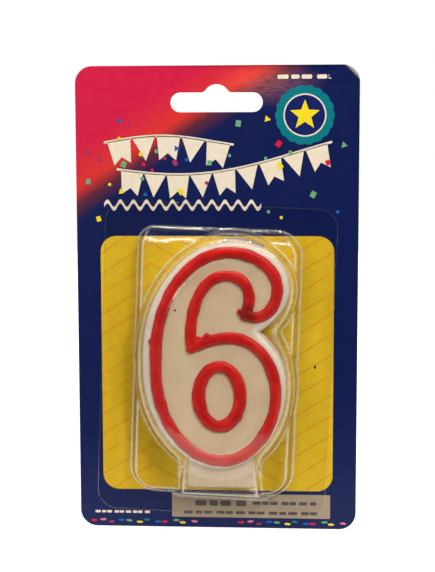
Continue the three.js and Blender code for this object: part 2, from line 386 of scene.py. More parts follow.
def rgb(red, green, blue):
    """A colour given as on a screen, 0 to 255, in the linear values that shaders take."""
    return tuple((v / 255) ** 2.2 for v in (red, green, blue)) + (1.0,)


def node(tree, kind, inputs=None, **settings):
    """A shader node. Each input is a value, or the output socket that feeds it."""
    made = tree.nodes.new("ShaderNode" + kind)
    for key, value in settings.items():
        setattr(made, key, value)
    for key, value in (inputs or {}).items():
        if isinstance(value, bpy.types.NodeSocket):
            tree.links.new(value, made.inputs[key])
        else:
            made.inputs[key].default_value = value
    return made


def math_node(tree, operation, *values, clamp=False):
    inputs = dict(enumerate(values))
    return node(tree, "Math", inputs, operation=operation, use_clamp=clamp).outputs[0]


def times(tree, a, b):
    return math_node(tree, "MULTIPLY", a, b)


def plus(tree, a, b):
    return math_node(tree, "ADD", a, b)


def vector_node(tree, operation, *values, output=0):
    inputs = dict(enumerate(values))
    return node(tree, "VectorMath", inputs, operation=operation).outputs[output]


def spread(tree, value, low, high, first=0.0, last=1.0):
    """The value carried from the range low to high over to first to last, and held at the ends."""
    return node(tree, "MapRange", {0: value, 1: low, 2: high, 3: first, 4: last}).outputs[0]


def stored(tree, name):
    """A value kept on the mesh by store()."""
    return node(tree, "Attribute", attribute_name=name).outputs["Fac"]


def mix_colour(tree, factor, a, b, blend="MIX"):
    made = node(tree, "Mix", {0: factor, 6: a, 7: b}, data_type="RGBA", blend_type=blend)
    return made.outputs[2]


def ramp(tree, factor, stops):
    """A colour ramp over 0 to 1, from (position, colour) stops."""
    made = node(tree, "ValToRGB", {0: factor})
    elements = made.color_ramp.elements
    while len(elements) < len(stops):
        elements.new(0.5)
    for element, (position, colour) in zip(elements, stops):
        element.position = position
        element.color = colour
    return made.outputs[0]


def grey(value):
    return (value, value, value, 1)


def noise(tree, place, per_mm, detail=4, rough=0.55):
    inputs = {"Vector": place, "Scale": per_mm / MM, "Detail": detail, "Roughness": rough}
    return node(tree, "TexNoise", inputs).outputs[0]


def bump(tree, height, depth_mm, strength=1.0, under=None):
    inputs = {"Height": height, "Distance": depth_mm * MM, "Strength": strength}
    if under is not None:
        inputs["Normal"] = under
    return node(tree, "Bump", inputs).outputs[0]


def new_material(name):
    material = bpy.data.materials.new(name)
    material.use_nodes = True
    tree = material.node_tree
    place = node(tree, "TexCoord").outputs["Object"]
    return material, tree, tree.nodes["Principled BSDF"], place


def connect(tree, shader, **sockets):
    names = {"colour": "Base Color", "roughness": "Roughness", "normal": "Normal"}
    for key, source in sockets.items():
        tree.links.new(source, shader.inputs[names[key]])


def scatter_inside(shader, weight, reach_mm):
    """Lets light into the wax, a little way for each of red, green and blue."""
    shader.inputs["Subsurface Weight"].default_value = weight
    shader.inputs["Subsurface Radius"].default_value = reach_mm
    shader.inputs["Subsurface Scale"].default_value = MM


# ---- Print materials ----


def print_finish(tree, shader, place, colour, roughness=0.42):
    """Ink under a thin varnish on board: faint mottling, rubbed patches and a fine orange peel."""
    mottle = ramp(tree, noise(tree, place, 0.35), [(0.3, grey(0.9)), (0.7, grey(1.0))])
    colour = mix_colour(tree, 1.0, colour, mottle, "MULTIPLY")
    rub = noise(tree, place, 0.06, 6, 0.7)
    rough = spread(tree, rub, 0.3, 0.7, roughness - 0.06, roughness + 0.1)
    peel = bump(tree, noise(tree, place, 1.4, 2), 0.012, 0.5)
    connect(tree, shader, colour=colour, roughness=rough, normal=peel)
    shader.inputs["Specular IOR Level"].default_value = 0.22


def ink_material(name, colour):
    material, tree, shader, place = new_material(name)
    print_finish(tree, shader, place, colour)
    return material


def card_face_material():
    """Crimson at the upper left, through an orange-red band, to navy, along one diagonal.

    Right of the slot a streaky pale patch is painted in, a painted glare of a lamp on the varnish; the upper
    right corner is worn to the board.
    """
    material, tree, shader, place = new_material("card_face")
    split = node(tree, "SeparateXYZ", {0: place})
    slope = math.radians(33.5)
    across = times(tree, split.outputs[0], math.sin(slope) / MM)
    down = times(tree, split.outputs[2], -math.cos(slope) / MM)
    distance = plus(tree, across, down)
    drift = math_node(tree, "MULTIPLY_ADD", noise(tree, place, 0.02, 1), 6.0, -3.0)
    share = spread(tree, plus(tree, distance, drift), -30.0, 30.0)
    crimson = rgb(196, 31, 68)
    orange = rgb(204, 52, 48)
    dusk = rgb(88, 40, 56)
    navy = rgb(20, 31, 78)
    colour = ramp(tree, share, [(0.36, crimson), (0.56, orange), (0.64, dusk), (0.72, navy)])

    # Painted glare: streaky pale colour added right of the slot, where a lamp would shine on the varnish.
    glare_x, glare_wide, glare_high = 18, 20, 8
    away = vector_node(tree, "SUBTRACT", place, (glare_x * MM, 0, 0))
    oval = vector_node(tree, "MULTIPLY", away, (1 / glare_wide, 0, 1 / glare_high))
    patch = spread(tree, vector_node(tree, "LENGTH", oval, output="Value"), MM, 0.2 * MM)
    drawn_level = vector_node(tree, "MULTIPLY", place, (1.0, 1.0, 7.0))
    streaks = spread(tree, noise(tree, drawn_level, 0.3, 6, 0.8), 0.34, 0.74)
    painted_glare = times(tree, times(tree, patch, streaks), 0.8)
    colour = mix_colour(tree, painted_glare, colour, rgb(164, 98, 82), "ADD")

    outward = plus(tree, split.outputs[0], split.outputs[2])
    corner = (CARD_RIGHT + CARD_TOP - 5.4) * MM
    worn = spread(tree, outward, corner, corner + 1.4 * MM)
    worn = times(tree, worn, math_node(tree, "MULTIPLY_ADD", streaks, 0.5, 0.5))
    colour = mix_colour(tree, worn, colour, rgb(214, 206, 204))
    print_finish(tree, shader, place, colour, 0.4)
    return material


def panel_material():
    """Yellow with thin orange lines in wide zigzags."""
    material, tree, shader, place = new_material("panel_yellow")
    fold_width, slope, pitch = 46.0, 0.62, 7.2
    split = node(tree, "SeparateXYZ", {0: place})
    x = times(tree, split.outputs[0], 1 / MM)
    y = times(tree, split.outputs[2], 1 / MM)
    fold = math_node(tree, "PINGPONG", plus(tree, x, fold_width / 2), fold_width)
    lane = plus(tree, y, times(tree, fold, slope))
    sway = times(tree, noise(tree, place, 0.08, 2), 1.6)
    lane = plus(tree, lane, sway)
    cell = math_node(tree, "FRACT", math_node(tree, "DIVIDE", lane, pitch))
    off = math_node(tree, "ABSOLUTE", math_node(tree, "SUBTRACT", cell, 0.5))
    line = spread(tree, off, 0.09, 0.02, 0.0, 0.6)
    faint = spread(tree, noise(tree, place, 0.25, 3), 0.25, 0.5)
    line = times(tree, line, faint)
    upright_bands = vector_node(tree, "MULTIPLY", place, (1.0, 1.0, 0.12))
    tone = noise(tree, upright_bands, 0.06, 3)
    patch = ramp(tree, tone, [(0.35, rgb(204, 165, 36)), (0.65, rgb(224, 188, 46))])
    colour = mix_colour(tree, line, patch, rgb(206, 136, 40))
    print_finish(tree, shader, place, colour)
    return material


def board_material(name, colour, roughness):
    """Bare board: matt, fibrous and slightly grey."""
    material, tree, shader, place = new_material(name)
    fibres = node(tree, "TexNoise", {"Vector": place, "Scale": 0.9 / MM, "Detail": 8.0, "Distortion": 1.5})
    tone = ramp(tree, fibres.outputs[0], [(0.35, grey(0.86)), (0.65, grey(1.0))])
    flat = mix_colour(tree, 1.0, colour, tone, "MULTIPLY")
    connect(tree, shader, colour=flat, normal=bump(tree, fibres.outputs[0], 0.03, 0.6))
    shader.inputs["Roughness"].default_value = roughness
    return material


# ---- Wax, cotton and sheet materials ----


def white_wax_material():
    """Poured wax: warm and dull on the front, and smoother round its rounded edge, where it is also painted
    paler: partly a painted highlight, partly thinner wax.
    """
    material, tree, shader, place = new_material("white_wax")
    rim_highlight_and_polish = stored(tree, "rim_highlight_and_polish")
    cloud = noise(tree, place, 0.07, 5, 0.6)
    front = ramp(tree, cloud, [(0.35, rgb(208, 183, 152)), (0.65, rgb(218, 197, 167))])
    edge = ramp(tree, cloud, [(0.35, rgb(224, 212, 200)), (0.65, rgb(236, 226, 216))])
    # The paler edge colour is partly a painted highlight on the rounded edge and partly thinner wax.
    colour = mix_colour(tree, rim_highlight_and_polish, front, edge)
    away = node(tree, "TexVoronoi", {"Vector": place, "Scale": 0.045 / MM}).outputs["Distance"]
    colour = mix_colour(tree, spread(tree, away, 0.02, 0.012), colour, rgb(110, 90, 66))
    swirl = bump(tree, noise(tree, place, 0.12, 4), 0.12, 0.5)
    grain = bump(tree, noise(tree, place, 1.6, 3), 0.015, 0.5, swirl)
    rough = spread(tree, noise(tree, place, 0.3, 4), 0.3, 0.7, 0.32, 0.5)
    polish = times(tree, rim_highlight_and_polish, -0.16)
    rough = plus(tree, rough, polish)
    connect(tree, shader, colour=colour, roughness=rough, normal=grain)
    scatter_inside(shader, 0.25, (2.4, 1.7, 1.1))
    return material


def red_wax_material():
    """Piped wax: strong red, darker where it is thick, with a slight sheen and tiny pits."""
    material, tree, shader, place = new_material("red_wax")
    reds = [(0.3, rgb(170, 12, 10)), (0.5, rgb(196, 20, 16)), (0.72, rgb(214, 44, 34))]
    colour = ramp(tree, noise(tree, place, 0.16, 5, 0.6), reds)
    colour = mix_colour(tree, stored(tree, "thick"), colour, rgb(130, 8, 10))
    ripple = bump(tree, noise(tree, place, 0.3, 4), 0.14, 0.6)
    pits = bump(tree, noise(tree, place, 2.2, 3), 0.02, 0.6, ripple)
    rough = spread(tree, noise(tree, place, 0.5, 4), 0.3, 0.7, 0.3, 0.52)
    connect(tree, shader, colour=colour, roughness=rough, normal=pits)
    scatter_inside(shader, 0.08, (1.6, 0.4, 0.3))
    return material


def cotton_material():
    material, tree, shader, place = new_material("waxed_cotton")
    fibre = node(tree, "TexNoise", {"Vector": place, "Scale": 3.5 / MM, "Detail": 6.0, "Distortion": 2.0})
    colour = ramp(tree, fibre.outputs[0], [(0.3, rgb(120, 104, 96)), (0.7, rgb(186, 172, 160))])
    connect(tree, shader, colour=colour, normal=bump(tree, fibre.outputs[0], 0.05, 0.8))
    shader.inputs["Roughness"].default_value = 0.7
    return material


def clear_sheet_material():
    """Thin clear plastic.

    Its folds are a pale haze. Elsewhere it mirrors a little: at grazing angles, and where it was drawn
    out over the candle. It dims what lies behind it, most where it is seen edge-on. Wherever it is
    raised off the card it dims slightly more: a painted shade over what lies under the platform and bubble.
    """
    material, tree, shader, place = new_material("clear_sheet")
    fold = stored(tree, "fold")
    raised = stored(tree, "raised")
    drawn = stored(tree, "drawn")
    turned = node(tree, "LayerWeight", {"Blend": 0.5}).outputs["Facing"]

    shader.inputs["Base Color"].default_value = rgb(250, 246, 232)
    tree.links.new(math_node(tree, "SUBTRACT", 1.0, fold, clamp=True), shader.inputs["Metallic"])
    ripple = bump(tree, noise(tree, place, 0.05, 2), 0.1, 0.3)
    pull = times(tree, noise(tree, place, 0.6, 4), fold)
    uneven = bump(tree, pull, 1.1, 0.8, ripple)
    rough = math_node(tree, "MULTIPLY_ADD", raised, 0.06, 0.05)
    connect(tree, shader, roughness=rough, normal=uneven)

    grazing = times(tree, math_node(tree, "POWER", turned, 2.5), 0.24)
    haze = times(tree, fold, 0.34)
    mirror = times(tree, drawn, 0.024)
    surface = plus(tree, plus(tree, grazing, haze), mirror)
    head_on = (0.992, 0.992, 0.988, 1)
    edge_on = (0.66, 0.68, 0.72, 1)
    # Painted shade: the sheet dims a little more wherever it is raised, darkening what lies beneath it.
    raised_shade_tint = (0.975, 0.975, 0.972, 1)
    tint = ramp(tree, turned, [(0.55, head_on), (0.97, edge_on)])
    tint = mix_colour(tree, raised, tint, raised_shade_tint, "MULTIPLY")
    clear = node(tree, "BsdfTransparent", {0: tint}).outputs[0]
    mixed = node(tree, "MixShader", {0: surface, 1: clear, 2: shader.outputs[0]})
    tree.links.new(mixed.outputs[0], tree.nodes["Material Output"].inputs[0])
    return material


# ---- Card and print ----


def slot_outline():
    """The hang slot: round ends, and a dome in the middle of its upper edge."""
    half, end_x = 3.4, 12.6  # the round ends' radius, and how far off the middle they are centred
    rise, dome, fillet = 2.8, 4.7, 2.0  # the dome's rise and radius, and the radius beside it
    fillet_y = fillet - rise
    fillet_x = math.sqrt((dome + fillet) ** 2 - (dome + fillet_y) ** 2)
    slope = math.atan2(dome + fillet_y, fillet_x)

    def arc(x, y, radius, start, end):
        angles = np.linspace(start, end, 13)
        return [(x + radius * math.cos(a), y + radius * math.sin(a)) for a in angles]

    quarter = math.pi / 2
    points = arc(end_x, -rise - half, half, -quarter, quarter)
    points += arc(fillet_x, fillet_y, fillet, -quarter, slope - math.pi)
    points += arc(0, -dome, dome, slope, math.pi - slope)
    points += arc(-fillet_x, fillet_y, fillet, -slope, -quarter)
    points += arc(-end_x, -rise - half, half, quarter, 3 * quarter)
    return np.array(points)


def lifted_corner(points):
    """The worn upper right corner, which stands a little proud of the card's plane."""
    reach, curl = 9, 0.03
    past = (points[:, 0] - CARD_RIGHT + points[:, 1] - CARD_TOP) / math.sqrt(2) + reach
    return curl * np.clip(past, 0, None) ** 2


def build_card(face, core, back):
    """The board, with its slot cut out. Each material goes to the faces that look its way."""
    outline = round_box(CARD_LEFT, CARD_RIGHT, CARD_BOTTOM, CARD_TOP, [CARD_CORNER] * 4, 12)
    slot = slot_outline()
    inner = np.vstack([slot, rings(outline, [0.4, 2], 3), rings(slot, [-0.4, -2], 2), grid(outline, 6)])
    inner = inner[inside_distance(inner, outline) > 0.2]
    flat, faces = triangulated([outline, slot], thinned(inner, 0.1))
    middles = np.array([flat[list(f)].mean(0) for f in faces])
    faces = [f for f, depth in zip(faces, inside_distance(middles, slot)) if depth < 0]
    lift = lifted_corner(flat)
    front = np.column_stack([flat, lift])
    behind = np.column_stack([flat, lift + CARD_BACK])
    points, closed = slab(flat, faces, front, behind)
    card = make_object("card_board", points, closed, [face, back, core])
    for polygon in card.data.polygons:
        facing = -polygon.normal.y
        polygon.material_index = 0 if facing > 0.5 else (1 if facing < -0.5 else 2)
    belongs(card, "card", "printed_board", "backing_card")


def printed(name, outlines, materials, lift=0.0, choices=None):
    """Patches of ink on the card, lifted clear of any ink below them.

    `choices` gives the number of each outline's material. Without it they all take the first.
    """
    points, faces, slots = [], [], []
    for outline, choice in zip(outlines, choices or [0] * len(outlines)):
        first, count = len(points), len(outline)
        points += [(x, y, lift + INK) for x, y in outline]
        points += [(x, y, lift) for x, y in outline]
        faces.append([first + i for i in range(count)])
        faces.append([first + count + i for i in reversed(range(count))])
        for i in range(count):
            j = (i + 1) % count
            faces.append([first + j, first + i, first + count + i, first + count + j])
        slots += [choice] * (count + 2)
    patch = make_object(name, points, faces, materials)
    patch.data.polygons.foreach_set("material_index", slots)
    belongs(patch, "card", "printed_board")


def pennant(x, y, across, high, lean, notched):
    """One flag of a bunting: a long triangle, or one with a swallow tail."""
    half = across / 2
    tip, nick = half * 0.72, high * 0.7
    tail = [(-tip, -high), (0, -nick), (tip, -high)] if notched else [(0, -high)]
    corners = np.array([(-half, 0), *tail, (half, 0)], float)
    return rotated(corners, lean) + (x, y)


def bunting(path, count, across, high):
    """Outlines of flags and their cord along a curve, given as a function of 0 to 1."""
    outlines = []
    near, past = 0.01, 0.02
    for i in range(count):
        t = (i + 0.5) / count
        here, ahead = np.array(path(t - near)), np.array(path(t + near))
        lean = math.atan2(ahead[1] - here[1], ahead[0] - here[0])
        outlines.append(pennant(*path(t), across, high, lean, i % 2 == 0))
    cord = [np.array(path(t)) for t in np.linspace(-past, 1 + past, 25)]
    upper = [p + (0, 0.5) for p in cord]
    lower = [p - (0, 0.3) for p in cord]
    outlines.append(np.array(lower + upper[::-1]))
    return outlines


def dashes(left, right, y, high, count):
    """Outlines of a row of uneven dashes, where a line of small print would be."""
    pitch = (right - left) / count
    fill, sway, beat = 0.76, 0.12, 2.4
    row = []
    for i in range(count):
        start = left + pitch * (i + sway * math.sin(beat * i))
        end = left + pitch * (i + fill + sway * math.sin(beat * i + 1))
        row.append(round_box(start, end, y - high / 2, y + high / 2, [0.3 * high] * 4, 2))
    return row


def around(x, y, angles, reach):
    return np.stack([x + reach * np.cos(angles), y + reach * np.sin(angles)], 1)


def star(x, y, outer, inner, points=5, turn=0.0):
    corner = np.arange(2 * points)
    angles = math.pi / 2 + turn + corner * math.pi / points
    return around(x, y, angles, np.where(corner % 2 == 0, outer, inner))


def scallops(x, y, radius, count=18, depth=0.5):
    angles = np.arange(count * 8) * 2 * math.pi / (count * 8)
    return around(x, y, angles, radius - depth + depth * np.abs(np.cos(angles * count / 2)))


def confetto(kind, x, y, size, turn):
    if kind == "dot":
        return ellipse(x, y, size * 0.5, size * 0.5, 16)
    if kind == "square":
        corners = np.array([(-0.42, -0.5), (0.42, -0.5), (0.42, 0.5), (-0.42, 0.5)])
        return rotated(corners * size, turn) + (x, y)
    return star(x, y, size * 0.62, size * 0.31, 3, turn)


# The confetti's sizes, and the scattered pieces: kind, ink, and place on the card's face.
DOT_SIZE = 1.3
PAPER_SIZE = 1.9
CONFETTI = [
    ("dot", "blue", -34, -12.5), ("dot", "magenta", -30.5, -13.5), ("dot", "yellow", -34, -18.5),
    ("dot", "yellow", -26.5, -24), ("dot", "green", -21, -23), ("triangle", "blue", -14, -22),
    ("square", "green", 7.5, -13.5), ("triangle", "yellow", 17.5, -12), ("square", "red", 21.5, -20.5),
    ("dot", "green", 25.5, -23.5), ("dot", "green", 17, -25.5), ("square", "yellow", 22, -28),
    ("square", "red", 38.5, -27), ("dot", "green", 4.5, -24.5), ("square", "green", -2.5, -27),
    ("dot", "blue", -10.5, -26), ("dot", "magenta", -18, -25.5), ("square", "magenta", -14.5, -27),
    ("dot", "red", -25.5, -27.5), ("square", "green", -32.5, -27.5), ("dot", "magenta", -45, -23),
    ("dot", "magenta", -41, -26), ("square", "green", -45, -33.5), ("dot", "yellow", -37.5, -34.5),
    ("triangle", "yellow", -33.5, -37), ("triangle", "blue", -25, -38), ("square", "yellow", -41.5, -46.5),
    ("square", "green", 33.5, -38), ("dot", "magenta", -3.5, -34), ("square", "yellow", -12.5, -37),
    ("dot", "green", -26, -32.5), ("dot", "red", -22.5, -29.5), ("dot", "green", 18, -44),
    ("dot", "yellow", 22.5, -46), ("dot", "blue", 42, -44), ("triangle", "green", 44, -21),
]
# The inks of the row along the card's lower edge, which is printed twice.
ROW_INKS = ["red", "pink", "magenta", "blue", "green", "yellow"]
ROW_INKS += ["teal", "blue", "red", "green", "yellow", "pink"]


def print_panels(inks):
    """The yellow panel, the pale label below it, and rows of dashes for the small print."""
    panel = round_box(-40.93, 40.93, -143.4, -52.5, [5.6] * 4)
    printed("print_panel", [panel], [panel_material()])
    label = round_box(-16.3, 40.15, -153.4, -144.75, [0.3] * 4, 2)
    printed("print_label", [label], [inks["parchment"]])
    label_dashes = dashes(-8, 11, -148.2, 2.0, 4) + dashes(12.5, 36, -148.0, 1.2, 7)
    label_dashes += dashes(-12, 37, -151.6, 1.1, 13)
    printed("print_label_dashes", label_dashes, [inks["grey"]], INK)
    printed("print_dashes", dashes(-44, -24, -151.8, 0.9, 9) + dashes(21, 43, 2.4, 1.4, 5), [inks["cream"]])
    printed("print_fleck", [ellipse(34.5, -98.6, 0.35, 0.6)], [inks["soot"]], INK)


def print_bunting(inks):
    """Two strings of flags and a wavy streamer, where the title and the line below it would be."""

    def upper_row(t):
        return -38.5 + 43.5 * t, -19.6 + 1.9 * math.sin(math.pi * (t * 1.25 - 0.05))

    def lower_row(t):
        return -33.5 + 72.0 * t, -29.5 - 2.4 * math.sin(math.pi * t * 1.3) + 7.2 * t * t

    flags = bunting(upper_row, 5, 8.2, 8.4) + bunting(lower_row, 9, 7.8, 8.2)
    printed("print_bunting", flags, [inks["cream"]])

    left, long, y, swing, turns, half = -39.5, 55, -41.7, 1.3, 12, 0.7
    t = np.linspace(0, 1, 170)
    middle = np.stack([left + long * t, y + swing * np.sin(t * 2 * math.pi * turns)], 1)
    streamer = np.vstack([middle + (0, half), middle[::-1] - (0, half)])
    printed("print_streamer", [streamer[::-1]], [inks["cream"]])


def print_rosette(inks):
    """A scalloped badge with a ring, a disc and a star on one another."""
    x, y = 30.5, -10.7
    printed("print_rosette", [scallops(x, y, 10.3)], [inks["teal"]])
    printed("print_rosette_ring", [ellipse(x, y, 7.4, 7.4, 48)], [inks["cream"]], INK)
    printed("print_rosette_disc", [ellipse(x, y, 6.9, 6.9, 48)], [inks["navy"]], 2 * INK)
    printed("print_rosette_star", [star(x, y, 5.4, 2.3)], [inks["yellow"]], 3 * INK)


def print_confetti(inks):
    """Confetti over the card's upper half, and the row along its lower edge."""
    names = list(inks)
    materials = list(inks.values())
    rng = random.Random(26)
    pieces, choices = [], []
    for kind, ink, x, y in CONFETTI:
        size = DOT_SIZE if kind == "dot" else PAPER_SIZE
        pieces.append(confetto(kind, x, y, size * rng.uniform(0.85, 1.15), rng.uniform(-0.6, 0.6)))
        choices.append(names.index(ink))
    printed("print_confetti", pieces, materials, 2 * INK, choices)

    pitch, low = 3.25, -155.1
    row, choices = [], []
    for start in (-44.5, 8.5):
        for i, ink in enumerate(ROW_INKS):
            x = start + i * pitch + 0.5 * math.sin(3 * i)
            y = low + 0.45 * math.sin(2.3 * i)
            row.append(ellipse(x, y, 1.15, 0.42, 16, 0.08 * math.sin(i)))
            choices.append(names.index(ink))
    printed("print_confetti_row", row, materials, 0.0, choices)


# ---- Cover ----


def sealed_box(part):
    return askew(round_box(part["left"], part["right"], part["bottom"], part["top"], part["corners"], 14))


def pocket_outline():
    low, high = POCKET_BOTTOM, POCKET_TOP
    corners = [
        (low["middle"] - low["half"], low["y"]),
        (low["middle"] + low["half"], low["y"]),
        (high["middle"] + high["half"], high["y"]),
        (high["middle"] - high["half"], high["y"]),
    ]
    return askew(round_polygon(corners, [1.4] * 4, 6))


class Cover:
    """The height of the formed sheet over the card's face.

    Every wall rises with the distance inside its outline, and meets its top in a soft edge. The bubble's
    wall is steep beside the platform and slopes in above it. Over the candle's foot it is gentle, and
    runs down into the pocket without a crease. The last number given to soft_min and soft_max is how
    widely the edge between two surfaces is rounded, in mm.
    """

    def __init__(self):
        self.flange = sealed_box(FLANGE)
        self.platform = sealed_box(PLATFORM)
        self.pocket = pocket_outline()
        self.bubble = stepped(numeral_outline(BUBBLE_GROW, BUBBLE_NOTCH_GROW, ROUND), 0.8)

    def height(self, points):
        platform = inside_distance(points, self.platform)
        pocket = inside_distance(points, self.pocket)
        bubble = inside_distance(points, self.bubble)
        sealed = rotated(points - (0, SEAL_HEIGHT), -SEAL_TILT)
        upper_wall = (PLATFORM["top"] - sealed[:, 1]) * PLATFORM_TOP_SLOPE
        low = soft_min(soft_min(platform * PLATFORM_SLOPE, upper_wall, 0.6), PLATFORM["depth"], 1.6)
        foot = soft_min(pocket * POCKET_SLOPE, POCKET_DEPTH, 1.8)
        sloping = PLATFORM["depth"] + (bubble - 0.1) * BUBBLE_UPPER_SLOPE
        steep = soft_min((bubble + 0.4) * BUBBLE_SLOPE, sloping, 0.8)
        gentle = POCKET_DEPTH - 0.8 + bubble * FOOT_SLOPE
        over_foot = np.clip(pocket / 1.5, 0, 1)
        wall = steep + (gentle - steep) * over_foot
        shoulder = BUBBLE_DEPTH - 2.4 + (bubble - 1.5) * SHOULDER_SLOPE
        tall = soft_min(wall, soft_min(shoulder, BUBBLE_DEPTH, 0.25), 1.6)
        raised = soft_max(soft_max(low, foot, 1.2), tall, 1.2)
        return soft_max(raised, SHEET_TOP, 1.5)

    def normals(self, points):
        step = 0.04
        slopes = []
        for shift in ((step, 0), (0, step)):
            slopes.append((self.height(points + shift) - self.height(points - shift)) / (2 * step))
        up = np.column_stack([-slopes[0], -slopes[1], np.ones(len(points))])
        return up / np.linalg.norm(up, axis=1)[:, None]

    def folds(self, points):
        """How sharply the sheet bends at each point, from 0 for flat to 1. Hollow bends count for half.

        A bend is hollow where the point lies lower than its four neighbours on the whole.
        """
        step, full = 0.3, math.radians(50)
        bends, rise = [], 0
        for shift in ((step, 0), (0, step)):
            ahead, behind = self.normals(points + shift), self.normals(points - shift)
            bends.append(np.arccos(np.clip((ahead * behind).sum(1), -1, 1)))
            rise = rise + self.height(points + shift) + self.height(points - shift)
        hollow = rise > 4 * self.height(points)
        bend = np.clip(np.max(bends, axis=0) / full, 0, 1) * np.where(hollow, 0.5, 1)
        edge = np.clip(1 - inside_distance(points, self.flange) / 0.4, 0, 1) * 0.25
        return np.maximum(bend, edge)


def build_cover(material):
    """One thin sheet, with its points in rings along each fold and in a wide grid where it is flat."""
    cover = Cover()
    open_grid = grid(cover.flange, 3.5)
    open_grid = open_grid[cover.folds(open_grid) < 0.01]
    wall_rings = [-1.6, -1.1, -0.7, -0.4, -0.2, 0, 0.15, 0.3, 0.45]
    wall_rings += [0.6, 0.8, 1.0, 1.25, 1.5, 1.8, 2.2, 2.5, 2.8]
    low_rings = [-1.2, -0.8, -0.5, -0.3, -0.1, 0.1, 0.35, 0.7, 1.1, 1.4, 1.7, 2.0, 2.3, 2.7, 3.1]
    foot_rings = [-0.8, -0.4, -0.1, 0.2, 0.6, 1.2, 1.8, 2.2, 2.5, 2.8, 3.1, 3.5, 3.9]
    shoulder_rings = [3.2, 5.5, 8.0, 10.5, 11.4, 11.9, 12.4, 13.2]
    inner = np.vstack([
        rings(cover.bubble, wall_rings, 0.8),
        rings(cover.platform, low_rings, 1.1),
        rings(cover.pocket, foot_rings, 1.1),
        rings(cover.bubble, shoulder_rings, 1.6),
        rings(cover.flange, [0.4, 0.9], 1.5),
        open_grid,
    ])
    inner = inner[inside_distance(inner, cover.flange) > 0.35]
    flat, faces = triangulated([stepped(cover.flange, 1.5)], thinned(inner, 0.13))
    outside = np.column_stack([flat, cover.height(flat)])
    normals = cover.normals(flat)
    inside = outside - normals * SHEET
    points, closed = slab(flat, faces, outside, inside)
    shell = make_object("clear_cover", points, closed, [material])
    shell.data.shade_smooth()
    both = upright(np.vstack([normals, -normals])) / MM
    shell.data.normals_split_custom_set_from_vertices(both.tolist())
    store(shell, "fold", np.tile(cover.folds(flat), 2))
    for name, low, high in (("raised", 0.5, 3.5), ("drawn", PLATFORM["depth"] + 0.3, POCKET_DEPTH)):
        share = np.clip((outside[:, 2] - low) / (high - low), 0, 1)
        store(shell, name, np.tile(share, 2))
    belongs(shell, "cover", "clear_sheet", "blister")


# ---- Candle ----


def stem_outline():
    low, high = CANDLE_BOTTOM, BASE + 8
    return round_polygon([(-10.5, low), (13.5, low), (12.4, high), (-9.4, high)], [1.2, 1.2, 0.3, 0.3], 5)


def rounded_edge(depth, thickness, radius):
    """The front's height at a depth inside the outline. Outside it, the height falls away steeply."""
    short = radius - np.clip(depth, 0, radius)
    return thickness - radius + np.sqrt(radius**2 - short**2) + 8 * np.clip(depth, None, 0)


def build_candle(material):
    """The numeral with its foot: a rounded front edge, and a front that is uneven and a little sunk."""
    edge_radius, foot_radius, foot_set_back = 1.8, 1.0, 2
    uneven, sunk = 0.05, 0.22
    numeral = stepped(numeral_outline(), 0.9)
    stem = stem_outline()
    edge_rings = [edge_radius * (1 - math.cos(math.radians(a))) for a in (12, 25, 38, 52, 66, 80, 90)]
    inner = np.vstack([
        rings(numeral, edge_rings + [2.4, 3.4, 4.6], 0.9),
        rings(numeral, [-0.15, -0.4, -0.8], 0.9),
        rings(stem, [0.12, 0.35, 0.65, 1.0, 1.6], 1.0),
        grid(numeral, 1.6),
    ])
    deep = np.maximum(inside_distance(inner, numeral), inside_distance(inner, stem))
    flat, faces = triangulated([numeral, stem], thinned(inner[deep > 0.05], 0.11))
    in_numeral = inside_distance(flat, numeral)
    in_stem = inside_distance(flat, stem)
    tall = rounded_edge(in_numeral, WAX, edge_radius)
    low = rounded_edge(in_stem, WAX - foot_set_back, foot_radius)
    height = soft_max(tall, low, 0.5)
    height += uneven * wobble(flat, 9, 3) * np.clip(in_numeral / 3, 0, 1)
    height -= sunk * np.clip((in_numeral - 7) / 3, 0, 1)
    front = np.column_stack([flat, CANDLE_BACK + height])
    back = np.column_stack([flat, np.full(len(flat), CANDLE_BACK)])
    points, closed = slab(flat, faces, front, back)
    candle = make_object("wax_numeral", points, closed, [material])
    # Where the wax is painted paler, partly a painted highlight and partly thinner wax: round the numeral's
    # edge, fading inward, a little on the foot, and mostly on the back.
    pale = np.clip(1 - (in_numeral - 1.2) / 2.2, 0, 1)
    pale = np.where(in_numeral < -0.1, 0.2, pale)
    store(candle, "rim_highlight_and_polish", np.concatenate([pale, np.full(len(flat), 0.8)]))
    shade(candle, 50)
    belongs(candle, "candle", "white_wax", "candle_body")


def build_fleck(material):
    """A speck of soot caught in the wax of the numeral's back."""
    fleck = make_object("wax_fleck", *lump(-13.8, -77.4, 0.35, 0.2), [material])
    shade(fleck)
    belongs(fleck, "candle", "white_wax")


def tube(middle, half_width, half_height, sides, sunk=1.0):
    """A closed tube along points on the face. `sunk` flattens the half that lies underneath."""
    across = sideways(middle[:, :2])
    angles = np.arange(sides) * 2 * math.pi / sides
    points, faces = [], []
    for i, centre in enumerate(middle):
        for angle in angles:
            side, up = math.cos(angle) * half_width[i], math.sin(angle) * half_height[i]
            up *= sunk if up < 0 else 1
            points.append((*(centre[:2] + across[i] * side), centre[2] + up))
    for i in range(len(middle) - 1):
        for j in range(sides):
            k = (j + 1) % sides
            a, b = i * sides, (i + 1) * sides
            faces.append((a + j, b + j, b + k, a + k))
    faces.append(tuple(range(sides)))
    faces.append(tuple(reversed(range(len(points) - sides, len(points)))))
    return np.array(points), faces


BEAD_LEVEL = CANDLE_BACK + WAX - 0.05  # the height at which the red wax lies
BEAD_SIDES = 16
BEAD_SUNK = 0.3  # how much of its lower half is left


